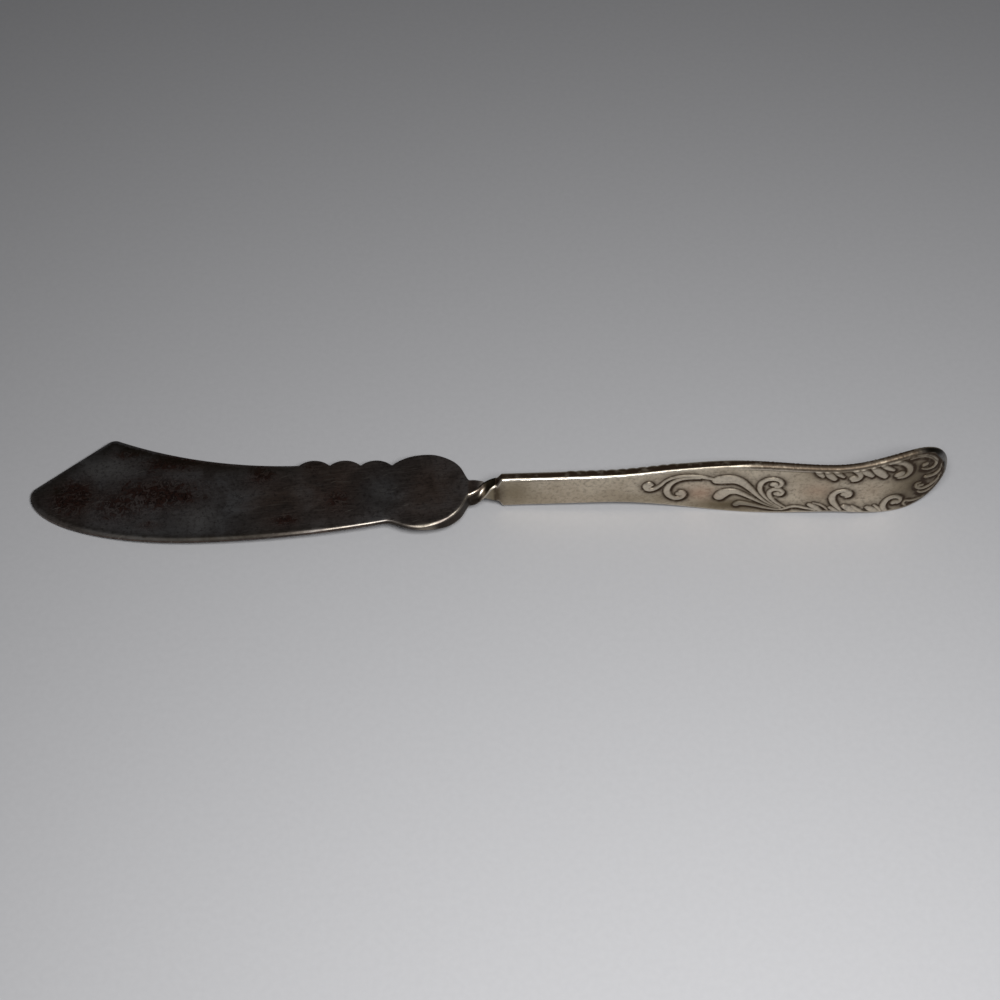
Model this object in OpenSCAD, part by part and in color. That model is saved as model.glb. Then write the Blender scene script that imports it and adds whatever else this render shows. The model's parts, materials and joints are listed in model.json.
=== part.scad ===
// Butter knife with a twisted neck, lying on a table.
// The blade lies almost flat, the neck makes a quarter turn, and the handle stands on its edge.
//
// Knife frame: x runs along the knife from the middle of the neck, the blade towards -x and
// the handle towards +x; y is across the blade and z is up from its flat. The knife is drawn in
// that frame, then laid on the table: it rests on the tip and on the lower edge of the handle.

/* [Blade] */
// Length from the tip to the neck
blade_len = 88.55; // [78:0.05:100]
// Thickness of the rolled blade
blade_t = 1.2; // [1:0.1:2]
// Thickness of the blade where it joins the neck
root_t = 3; // [2.1:0.1:3.6]
// Distance from the neck over which the blade thins
taper_len = 11; // [7:1:30]
// Depth of the belly below the centre line
belly_depth = 10.7; // [9.5:0.1:13]
// Distance from the neck to the deepest point of the belly
belly_at = 54.25; // [46:0.25:62]
// Radius of the long edge between the belly and the lobe
belly_r = 210; // [180:5:400]
// Width of the bevel along the spreading edge
bevel_w = 0.8; // [0.4:0.1:1.4]
// Thickness left at the spreading edge
edge_t = 0.7; // [0.4:0.05:0.9]
// Height of the tip above the centre line
tip_rise = 1.7; // [0:0.1:2.5]
// Radius of the rounded tip
tip_r = 2.2; // [1.5:0.05:4]
// Angle of the clipped end to the centre line
clip_angle = 40; // [34:0.5:44]
// Radius of the hollow in the spine
spine_r = 95; // [70:1:140]
// Height of the spine at the scallops
spine_h = 7.3; // [6:0.1:8]
// Reach of the rounding between the spine and the clipped end
corner_blend = 1.5; // [0.5:0.1:2.5]

/* [Lobe and scallops] */
// Radius of the round lobe beside the neck
lobe_r = 9.1; // [8.5:0.1:10]
// Distance from the neck to the middle of the lobe
lobe_at = 9.55; // [8.4:0.05:11]
// Height over which the hollow between the lobe and the spreading edge is filled
notch_blend = 1.6; // [0.5:0.1:2.5]
// Number of scallops on the spine
scallop_count = 3; // [2:1:4]
// Length of one scallop
scallop_len = 6.3; // [5:0.05:7.5]
// Rise of one scallop above the spine
scallop_rise = 1.3; // [0.5:0.05:1.8]
// Fall of the row of scallops towards the lobe
scallop_fall = 0.6; // [0:0.1:1]

/* [Neck] */
// Length of the twisted neck
neck_len = 5.25; // [4:0.25:10]
// Width of the neck beside the blade
neck_blade_w = 4.4; // [3.8:0.1:5.5]
// Width of the neck at its middle
neck_waist_w = 4; // [3.2:0.1:5]
// Width of the neck beside the handle
neck_handle_w = 5.2; // [4:0.1:6]
// Thickness of the neck at its middle
neck_t = 3.2; // [2.2:0.1:3.8]
// Thickness of the neck beside the handle
neck_handle_t = 2.4; // [1.5:0.1:2.8]
// Turn of the handle against the blade
twist = 90; // [80:1:100]
// Height over which the corner between the neck and the lobe is filled
neck_blend = 0.6; // [0.2:0.1:2]

/* [Handle] */
// Thickness of the plain stem
handle_t = 1.9; // [1.6:0.1:2.6]
// Thickness of the ornamented end
plate_t = 1.4; // [1.2:0.1:2]
// Length over which the handle thins, up to its waist
thin_run = 30; // [20:1:40]
// Length of the shoulders beside the neck
shoulder_len = 1.3; // [0.6:0.1:3]
// Width of the plain stem
stem_w = 8.4; // [7:0.1:10]
// Length of the plain stem, with its shoulders
stem_len = 21; // [12:1:30]
// Width of the handle at its swell
swell_w = 15.1; // [12:0.1:18]
// Length from the plain stem to the swell
swell_run = 31; // [22:1:38]
// Width of the waist beyond the swell
waist_w = 13.9; // [11:0.1:17]
// Length from the swell to that waist
waist_run = 14.5; // [10:0.5:20]
// Width of the rounded end
end_w = 17.7; // [14:0.1:20]
// Length from the waist to the widest part of the end
end_run = 15; // [10:1:20]
// Length of the half ellipse that closes the end
end_len = 8; // [7:0.5:12]
// Depth by which the handle bows to the near side
bow_depth = 2.1; // [0:0.1:4]
// Length over which it bows
bow_run = 38; // [24:1:44]
// Length of the end that curls to the far side
curl_len = 20; // [14:1:26]
// Radius of that curl
curl_r = 40; // [30:1:80]

/* [Edges] */
// Rounding of the long edges of the neck and the handle
arris_r = 0.25; // [0.1:0.05:0.6]

/* [Hidden] */

tarnished_silver = [0.23, 0.21, 0.2];
worn_silver = [0.66, 0.62, 0.57];

// Steps along each stretch of the outline and of the lofts
lobe_steps = 18;
notch_steps = 14;
scallop_steps = 8;
spine_steps = 12;
corner_steps = 6;
tip_steps = 6;
belly_steps = 12;
point_steps = 20;
taper_steps = 6;
neck_steps = 26;
shoulder_steps = 6;
stem_steps = 6;
swell_steps = 36;
end_steps = 22;
// Facets in one rounded edge of a section
edge_steps = 3;
// Smallest rounding of a section, and width of the flat that closes the handle's end
closing = 0.05;
// Largest share of a section's width or thickness that one rounded corner takes
corner_share = 0.45;
// Reach of a cutting shape beyond the metal that it cuts
margin = 2;
// Overlap of neighbouring cuts along the bevel
cut_overlap = 0.05;

blade_root_x = -neck_len / 2;
handle_root_x = neck_len / 2;

// Places along the blade, measured from the neck
row_start_h = spine_h - scallop_fall;
scallops_from = lobe_at + sqrt(lobe_r ^ 2 - row_start_h ^ 2);
scallops_to = scallops_from + scallop_count * scallop_len;
notch_to = lobe_at + lobe_r;
tip_centre = blade_len - tip_r;

// Places along the handle, measured from the neck
swell_at = stem_len + swell_run;
waist_at = swell_at + waist_run;
end_at = waist_at + end_run;
handle_len = end_at + end_len;
bow_at = handle_len - curl_len;

// Curves

// Smooth step from 0 to 1
function ease(t) = let (c = min(max(t, 0), 1)) c * c * (3 - 2 * c);
// Height at x of a curve that levels out at every knot [x, height]
function eased(knots, x, i = 0) =
    i >= len(knots) - 2 || x <= knots[i + 1][0]
    ? knots[i][1] + (knots[i + 1][1] - knots[i][1])
        * ease((x - knots[i][0]) / (knots[i + 1][0] - knots[i][0]))
    : eased(knots, x, i + 1);
// The larger of two heights, with the corner between them filled
function blend_max(a, b, blend) = max(a, b) + max(blend - abs(a - b), 0) ^ 2 / (4 * blend);
function blend_min(a, b, blend) = -blend_max(-a, -b, blend);
// Height of a circle's rim at the distance d from its centre, or 0 beyond the rim
function rim(r, d) = sqrt(max(r ^ 2 - d ^ 2, 0));
// Steps from a to b, evenly spaced, without a itself
function even(a, b, steps) = [for (i = [1 : steps]) a + (b - a) * i / steps];
// Steps from a to b, closer together towards both ends
function crowded(a, b, steps) = [for (i = [0 : steps]) a + (b - a) * (1 - cos(180 * i / steps)) / 2];

// Outline of the blade, at the distance s from the neck

// Distance from the neck of the point at the angle a round the lobe, and the angle at the neck itself
function lobe_place(a) = lobe_at - lobe_r * cos(a);
lobe_start = acos(min(lobe_at / lobe_r, 1));
function lobe_edge(s) = rim(lobe_r, s - lobe_at);
function root_edge(s) = blend_max(lobe_edge(s), neck_blade_w / 2, neck_blend);
// Height at the distance d from the start of the row of scallops
function scallop_edge(d) =
    let (
        r = ((scallop_len / 2) ^ 2 + scallop_rise ^ 2) / (2 * scallop_rise),
        row_h = row_start_h + scallop_fall * d / (scallop_count * scallop_len),
        from_top = d - scallop_len * (floor(d / scallop_len) + 0.5)
    )
    row_h + scallop_rise - r + rim(r, from_top);
function spine_edge(s) = spine_h + spine_r - rim(spine_r, s - scallops_to);
function clip_edge(s) = tip_rise + tip_r / cos(clip_angle) + (tip_centre - s) * tan(clip_angle);
function belly_edge(s) = belly_depth - belly_r + rim(belly_r, s - belly_at);
function notch_edge(s) = blend_max(lobe_edge(s), belly_edge(s), notch_blend);

// Distance from the neck at which the clipped end meets the spine
function meeting(low, high, tries = 24) =
    let (s = (low + high) / 2)
    tries == 0 ? s
    : clip_edge(s) > spine_edge(s) ? meeting(s, high, tries - 1)
    : meeting(low, s, tries - 1);
corner_at = meeting(scallops_to, blade_len);

// The spine side from the neck to the tip, as points [distance from the neck, height]
far_outline = [
    [0, root_edge(0)],
    for (a = even(lobe_start, 90, lobe_steps)) [lobe_place(a), root_edge(lobe_place(a))],
    for (a = even(90, 180 - asin(row_start_h / lobe_r), lobe_steps / 2)) [lobe_place(a), lobe_edge(lobe_place(a))],
    for (d = even(0, scallop_count * scallop_len, scallop_count * scallop_steps))
        [scallops_from + d, scallop_edge(d)],
    for (s = even(scallops_to, corner_at - corner_blend, spine_steps)) [s, spine_edge(s)],
    for (s = even(corner_at - corner_blend, corner_at + corner_blend, corner_steps))
        [s, blend_min(spine_edge(s), clip_edge(s), corner_blend)],
    for (i = [0 : tip_steps])
        let (a = clip_angle + (90 - clip_angle) * i / tip_steps)
        [tip_centre + tip_r * sin(a), tip_rise + tip_r * cos(a)],
];
// The spreading side from the neck to the start of the bevel, then the bevelled stretch to the tip
lobe_outline = [
    [0, -root_edge(0)],
    for (a = even(lobe_start, 90, lobe_steps)) [lobe_place(a), -root_edge(lobe_place(a))],
    for (s = even(lobe_at, notch_to, notch_steps)) [s, -notch_edge(s)],
];
bevelled_outline = [
    lobe_outline[len(lobe_outline) - 1],
    for (s = even(notch_to, belly_at, belly_steps)) [s, -belly_edge(s)],
    for (i = [1 : point_steps])
        let (a = 90 * i / point_steps)
        [belly_at + (blade_len - belly_at) * sin(a), tip_rise - (belly_depth + tip_rise) * cos(a)],
];

function blade_thickness(s) = eased([[0, root_t], [taper_len, blade_t]], s);

// Shape of the handle, at the distance u from the neck

function handle_width(u) =
    u > end_at
    ? end_w * rim(1, (u - end_at) / end_len)
    : eased([
        [0, neck_handle_w],
        [shoulder_len, stem_w],
        [stem_len, stem_w],
        [swell_at, swell_w],
        [waist_at, waist_w],
        [end_at, end_w],
    ], u);
function handle_thickness(u) = eased([
    [0, neck_handle_t],
    [shoulder_len, handle_t],
    [waist_at - thin_run, handle_t],
    [waist_at, plate_t],
], u);
// How far the handle stands to the far side of the centre line
function handle_bow(u) =
    u < bow_at
    ? -bow_depth * ease(1 - (bow_at - u) / bow_run)
    : curl_r - rim(curl_r, u - bow_at) - bow_depth;
function handle_slope(u) = let (d = 0.01) atan((handle_bow(u + d) - handle_bow(u - d)) / (2 * d));

// Lofted sections

// One closed section as points [across, through], with rounded corners
function section(w, t, r) =
    [for (quarter = [0 : 3], i = [0 : edge_steps])
        let (
            a = 90 * (quarter + i / edge_steps),
            corner = [quarter == 0 || quarter == 3 ? 1 : -1, quarter < 2 ? 1 : -1],
            rx = min(r, corner_share * w),
            ry = min(r, corner_share * t)
        )
        [corner[0] * (w / 2 - rx) + rx * cos(a), corner[1] * (t / 2 - ry) + ry * sin(a)]
    ];
// The section set across the knife at [x, y], turned by roll about the knife and by yaw about z
function placed(points, x, y = 0, roll = 0, yaw = 0) =
    [for (p = points)
        let (
            across = p[0] * cos(roll) - p[1] * sin(roll),
            up = p[0] * sin(roll) + p[1] * cos(roll)
        )
        [x - across * sin(yaw), y + across * cos(yaw), up]
    ];

function neck_width(k) = eased([[0, 2 * root_edge(0)], [0.5, neck_waist_w], [1, neck_handle_w]], k);
function neck_thickness(k) = eased([[0, root_t], [0.5, neck_t], [1, neck_handle_t]], k);
// The edges are sharp beside the blade and rounded from the middle of the neck on
function neck_round(k) = closing + (arris_r - closing) * ease(2 * k);
neck_rings = [for (i = [0 : neck_steps])
    let (k = i / neck_steps)
    placed(
        section(neck_width(k), neck_thickness(k), neck_round(k)),
        blade_root_x + neck_len * k,
        roll = -twist * ease(k)
    )
];

handle_places = [
    each crowded(0, shoulder_len, shoulder_steps),
    each even(shoulder_len, stem_len, stem_steps),
    each even(stem_len, end_at, swell_steps),
    for (i = [1 : end_steps - 1]) end_at + end_len * sin(90 * i / end_steps),
    handle_len - closing,
];
handle_rings = [for (u = handle_places)
    placed(
        section(handle_width(u), handle_thickness(u), arris_r),
        handle_root_x + u,
        handle_bow(u),
        roll = -twist,
        yaw = handle_slope(u)
    )
];

// Lying on the table

// The underside of the blade first touches beside the bevel at the tip
tip_touch = [blade_root_x - blade_len + bevel_w, tip_rise, -blade_t / 2];
// The knife tips up until the lower edge of the handle touches the table too
rest_pitch = max([for (ring = handle_rings, p = ring) atan2(tip_touch[2] - p[2], p[0] - tip_touch[0])]);
function tipped(p) = [
    p[0] * cos(rest_pitch) - p[2] * sin(rest_pitch),
    p[1],
    p[0] * sin(rest_pitch) + p[2] * cos(rest_pitch),
];
// Points that reach furthest to every side
lying = [
    tipped(tip_touch),
    for (p = concat(far_outline, bevelled_outline)) tipped([blade_root_x - p[0], p[1], 0]),
    for (ring = handle_rings, p = ring) tipped(p),
];
function lowest(axis) = min([for (p = lying) p[axis]]);
function highest(axis) = max([for (p = lying) p[axis]]);
// Moves the middle of the footprint to the origin, at the level of the table
rest_shift = -[(lowest(0) + highest(0)) / 2, (lowest(1) + highest(1)) / 2, lowest(2)];

module on_table() {
    translate(rest_shift) rotate([0, -rest_pitch, 0]) children();
}

// A closed skin over a row of rings with equal counts of points
module loft(rings) {
    n = len(rings[0]);
    last = (len(rings) - 1) * n;
    polyhedron(
        points = [for (ring = rings) each ring],
        faces = [
            [for (j = [0 : n - 1]) j],
            for (i = [0 : len(rings) - 2], j = [0 : n - 1])
                let (a = i * n + j, b = i * n + (j + 1) % n)
                each [[a, a + n, b], [b, a + n, b + n]],
            [for (j = [n - 1 : -1 : 0]) last + j],
        ]
    );
}

// The blade's outline through the full height of its root
module blade_plan() {
    far_back = [for (i = [len(far_outline) - 2 : -1 : 0]) far_outline[i]];
    round_trip = concat(lobe_outline, [for (i = [1 : len(bevelled_outline) - 1]) bevelled_outline[i]], far_back);
    linear_extrude(root_t + margin, center = true)
        polygon([for (p = round_trip) [blade_root_x - p[0], p[1]]]);
}

// The blade's thickness, seen from the side
module blade_profile() {
    places = concat([-margin, 0], even(0, taper_len, taper_steps), [blade_len + margin]);
    upper = [for (s = places) [blade_root_x - s, blade_thickness(s) / 2]];
    lower = [for (i = [len(places) - 1 : -1 : 0]) [upper[i][0], -upper[i][1]]];
    reach = belly_depth + spine_h + spine_r;
    rotate([90, 0, 0]) linear_extrude(2 * reach, center = true) polygon(concat(upper, lower));
}

// What the bevel takes off one straight stretch of the spreading edge, above the blade
module bevel_cut(from, to) {
    along = to - from;
    drop = (blade_t - edge_t) / 2;
    translate([blade_root_x - from[0], from[1], edge_t / 2])
        rotate([0, 0, atan2(along[1], -along[0])])
        rotate([-atan(drop / bevel_w), 0, 0])
        translate([-cut_overlap, -margin, 0])
        cube([norm(along) + 2 * cut_overlap, bevel_w + 2 * margin, margin]);
}

module blade() {
    color(tarnished_silver) on_table() difference() {
        intersection() {
            blade_plan();
            blade_profile();
        }
        for (i = [0 : len(bevelled_outline) - 2], side = [0, 1]) {
            mirror([0, 0, side]) bevel_cut(bevelled_outline[i], bevelled_outline[i + 1]);
        }
    }
}

module twisted_neck() {
    color(worn_silver) on_table() loft(neck_rings);
}

module handle() {
    color(worn_silver) on_table() loft(handle_rings);
}

blade();
twisted_neck();
handle();
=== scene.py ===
"""A silver-plated butter knife with a twisted neck, lying on a pale table."""

import json
import math

import bmesh
import bpy
import numpy as np
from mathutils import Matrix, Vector, geometry


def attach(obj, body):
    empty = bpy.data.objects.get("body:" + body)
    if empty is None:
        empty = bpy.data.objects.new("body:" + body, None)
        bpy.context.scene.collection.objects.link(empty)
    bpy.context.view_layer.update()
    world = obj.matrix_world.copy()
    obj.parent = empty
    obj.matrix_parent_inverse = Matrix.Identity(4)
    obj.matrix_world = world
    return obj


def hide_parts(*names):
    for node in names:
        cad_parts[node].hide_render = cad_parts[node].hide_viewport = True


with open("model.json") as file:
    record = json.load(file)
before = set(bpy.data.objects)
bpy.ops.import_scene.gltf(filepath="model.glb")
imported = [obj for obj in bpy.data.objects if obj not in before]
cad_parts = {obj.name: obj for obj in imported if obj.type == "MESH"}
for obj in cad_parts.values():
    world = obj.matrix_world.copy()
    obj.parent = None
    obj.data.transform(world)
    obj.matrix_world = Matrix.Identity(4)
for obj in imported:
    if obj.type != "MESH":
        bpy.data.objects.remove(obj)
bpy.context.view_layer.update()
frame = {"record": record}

# Sizes of the knife in mm, as the CAD part has them
BLADE_LEN = 88.55
BLADE_T = 1.2
TAPER_LEN = 11
BELLY_DEPTH = 10.7
BELLY_AT = 54.25
BELLY_R = 210
TIP_RISE = 1.7
TIP_R = 2.2
CLIP_ANGLE = math.radians(40)
SPINE_R = 95
SPINE_H = 7.3
CORNER_BLEND = 1.5
LOBE_R = 9.1
LOBE_AT = 9.55
NOTCH_BLEND = 1.6
SCALLOP_COUNT = 3
SCALLOP_LEN = 6.3
SCALLOP_RISE = 1.3
SCALLOP_FALL = 0.6
NECK_LEN = 5.25
NECK_WAIST_W = 4
NECK_T = 3.2
NECK_HANDLE_T = 2.4
HANDLE_T = 1.9
PLATE_T = 1.4
THIN_RUN = 30
SHOULDER_LEN = 1.3
STEM_W = 8.4
STEM_LEN = 21
SWELL_W = 15.1
SWELL_RUN = 31
WAIST_W = 13.9
WAIST_RUN = 14.5
END_W = 17.7
END_RUN = 15
END_LEN = 8
BOW_DEPTH = 2.1
BOW_RUN = 38
CURL_LEN = 20
CURL_R = 40
# Round the neck the skin differs a little from the CAD part: the blade's root is thicker and narrower and
# curves into the lobe, the lobe is drawn out towards it, and the handle's shoulders start later
ROOT_T = 3.7
ROOT_HALF = 1.9
ROOT_SLOPE = 0.9
ROOT_RUN = 1.8
LOBE_REACH = 9.45
NECK_HANDLE_W = 4.8
SHOULDER_FROM = 0.1
# How far the metal there lies above the knife's centre line and to its far side,
# as (along the knife, distance)
SAG = [(-10.6, 0), (-5.9, -0.42), (-1.2, -0.45), (0.4, 0), (1.5, 0.2), (2.6, 0.2), (4, 0)]
SWAY = [(-6, 0), (-2.6, -0.22), (0, 0), (4, 0)]
# Swelling on the near edge of the neck: its height, and its middle and half width as shares of the neck's
# length and of the way down the edge
SWELLING = 0.45
SWELLING_ALONG = (0.367, 0.117)
SWELLING_DOWN = (0.606, 0.425)
# Where the bead along the handle starts on its upper and its lower edge, and the rim round the end
BEAD_TOP_FROM = 46
BEAD_FOOT_FROM = 78
BEAD_RUN = 6
RIM_FROM = 81
RIM_RUN = 4

BLADE_ROOT_X = -NECK_LEN / 2
HANDLE_ROOT_X = NECK_LEN / 2
ROW_START_H = SPINE_H - SCALLOP_FALL
SCALLOPS_FROM = LOBE_AT + math.sqrt(LOBE_R ** 2 - ROW_START_H ** 2)
SCALLOPS_TO = SCALLOPS_FROM + SCALLOP_COUNT * SCALLOP_LEN
TIP_CENTRE = BLADE_LEN - TIP_R
SWELL_AT = STEM_LEN + SWELL_RUN
WAIST_AT = SWELL_AT + WAIST_RUN
END_AT = WAIST_AT + END_RUN
HANDLE_LEN = END_AT + END_LEN
BOW_AT = HANDLE_LEN - CURL_LEN


# Curves

def ease(t):
    """Smooth step from 0 to 1."""
    t = np.clip(t, 0, 1)
    return t * t * (3 - 2 * t)


def eased(knots, x):
    """Height at x of a curve that levels out at every knot (x, height)."""
    total = np.full(np.shape(x), float(knots[0][1]))
    for (x0, h0), (x1, h1) in zip(knots, knots[1:]):
        total = total + (h1 - h0) * ease((x - x0) / (x1 - x0))
    return total


def blend_max(a, b, blend):
    """The larger of two heights, with the corner between them filled."""
    return np.maximum(a, b) + np.maximum(blend - np.abs(a - b), 0) ** 2 / (4 * blend)


def peak(x, middle, half_width):
    """A soft peak of height 1."""
    return np.exp(-((x - middle) / half_width) ** 2)


def rim(r, d):
    """Height of a circle with the radius r at the distance d from its middle."""
    return np.sqrt(np.maximum(r * r - d * d, 0))


def lobe_height(s):
    """Half width of the round lobe, which is drawn out towards the neck."""
    return LOBE_R * rim(1, (s - LOBE_AT) / np.where(s < LOBE_AT, LOBE_REACH, LOBE_R))


def root_height(s):
    """Half width of the lobe with the curve that joins it to the neck."""
    d = 0.01
    end = float(lobe_height(ROOT_RUN))
    end_slope = float(lobe_height(ROOT_RUN + d) - lobe_height(ROOT_RUN - d)) / (2 * d)
    t = np.clip(s / ROOT_RUN, 0, 1)
    curve = ROOT_HALF + (end - ROOT_HALF) * ease(t)
    curve = curve + ROOT_RUN * (ROOT_SLOPE * t * (1 - t) ** 2 - end_slope * t * t * (1 - t))
    return np.where(s < ROOT_RUN, curve, lobe_height(s))


def far_height(s):
    """The spine side of the blade, at the distance s from the neck."""
    root = root_height(s)
    arc_r = ((SCALLOP_LEN / 2) ** 2 + SCALLOP_RISE ** 2) / (2 * SCALLOP_RISE)
    row = ROW_START_H + SCALLOP_FALL * (s - SCALLOPS_FROM) / (SCALLOPS_TO - SCALLOPS_FROM)
    spine = SPINE_H + SPINE_R - rim(SPINE_R, np.maximum(s - SCALLOPS_TO, 0)) - np.maximum(SCALLOPS_TO - s, 0)
    notch = 0.3
    scallops = blend_max(root, spine, notch)
    for i in range(SCALLOP_COUNT):
        middle = SCALLOPS_FROM + SCALLOP_LEN * (i + 0.5)
        arc = row + SCALLOP_RISE - arc_r + rim(arc_r, s - middle)
        scallops = blend_max(scallops, np.where(np.abs(s - middle) < arc_r, arc, 0), notch)
    clip = TIP_RISE + TIP_R / math.cos(CLIP_ANGLE) + (TIP_CENTRE - s) * math.tan(CLIP_ANGLE)
    return np.where(s < SCALLOPS_TO + 5, scallops, -blend_max(-spine, -clip, CORNER_BLEND))


def near_height(s):
    """Depth of the spreading side of the blade up to the belly."""
    belly = BELLY_DEPTH - BELLY_R + rim(BELLY_R, s - BELLY_AT)
    return np.where(s < LOBE_AT, root_height(s), blend_max(lobe_height(s), belly, NOTCH_BLEND))


def blade_thickness(s):
    return eased([(0, ROOT_T), (TAPER_LEN, BLADE_T)], s)


def handle_half_width(u):
    return eased([
        (SHOULDER_FROM, NECK_HANDLE_W), (SHOULDER_FROM + SHOULDER_LEN, STEM_W), (STEM_LEN, STEM_W),
        (SWELL_AT, SWELL_W), (WAIST_AT, WAIST_W), (END_AT, END_W),
    ], u) / 2


def handle_thickness(u):
    return eased([
        (0, NECK_HANDLE_T), (SHOULDER_LEN, HANDLE_T), (WAIST_AT - THIN_RUN, HANDLE_T), (WAIST_AT, PLATE_T),
    ], u)


def handle_bow(u):
    """How far the handle's middle lies to the far side of the knife's centre line."""
    curl = CURL_R - rim(CURL_R, u - BOW_AT) - BOW_DEPTH
    return np.where(u < BOW_AT, -BOW_DEPTH * ease(1 - (BOW_AT - u) / BOW_RUN), curl)


# The knife's own frame, placed on the table through the part's two mounts
mounts = {m["name"]: m for m in frame["record"]["mounts"]}
ALONG = np.array(mounts["grip"]["axis"])
UP = -np.array(mounts["blade_underside"]["axis"])
ACROSS = np.cross(UP, ALONG)
GRIP_X = HANDLE_ROOT_X + 12
ORIGIN = np.array(mounts["grip"]["pos_m"]) - ALONG * GRIP_X / 1000


def on_table(points):
    """Points in the knife's frame, in mm, as points of the row frame in metres."""
    p = np.asarray(points, float) / 1000
    return ORIGIN + p[..., :1] * ALONG + p[..., 1:2] * ACROSS + p[..., 2:] * UP


# Ornament on the handle

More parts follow.
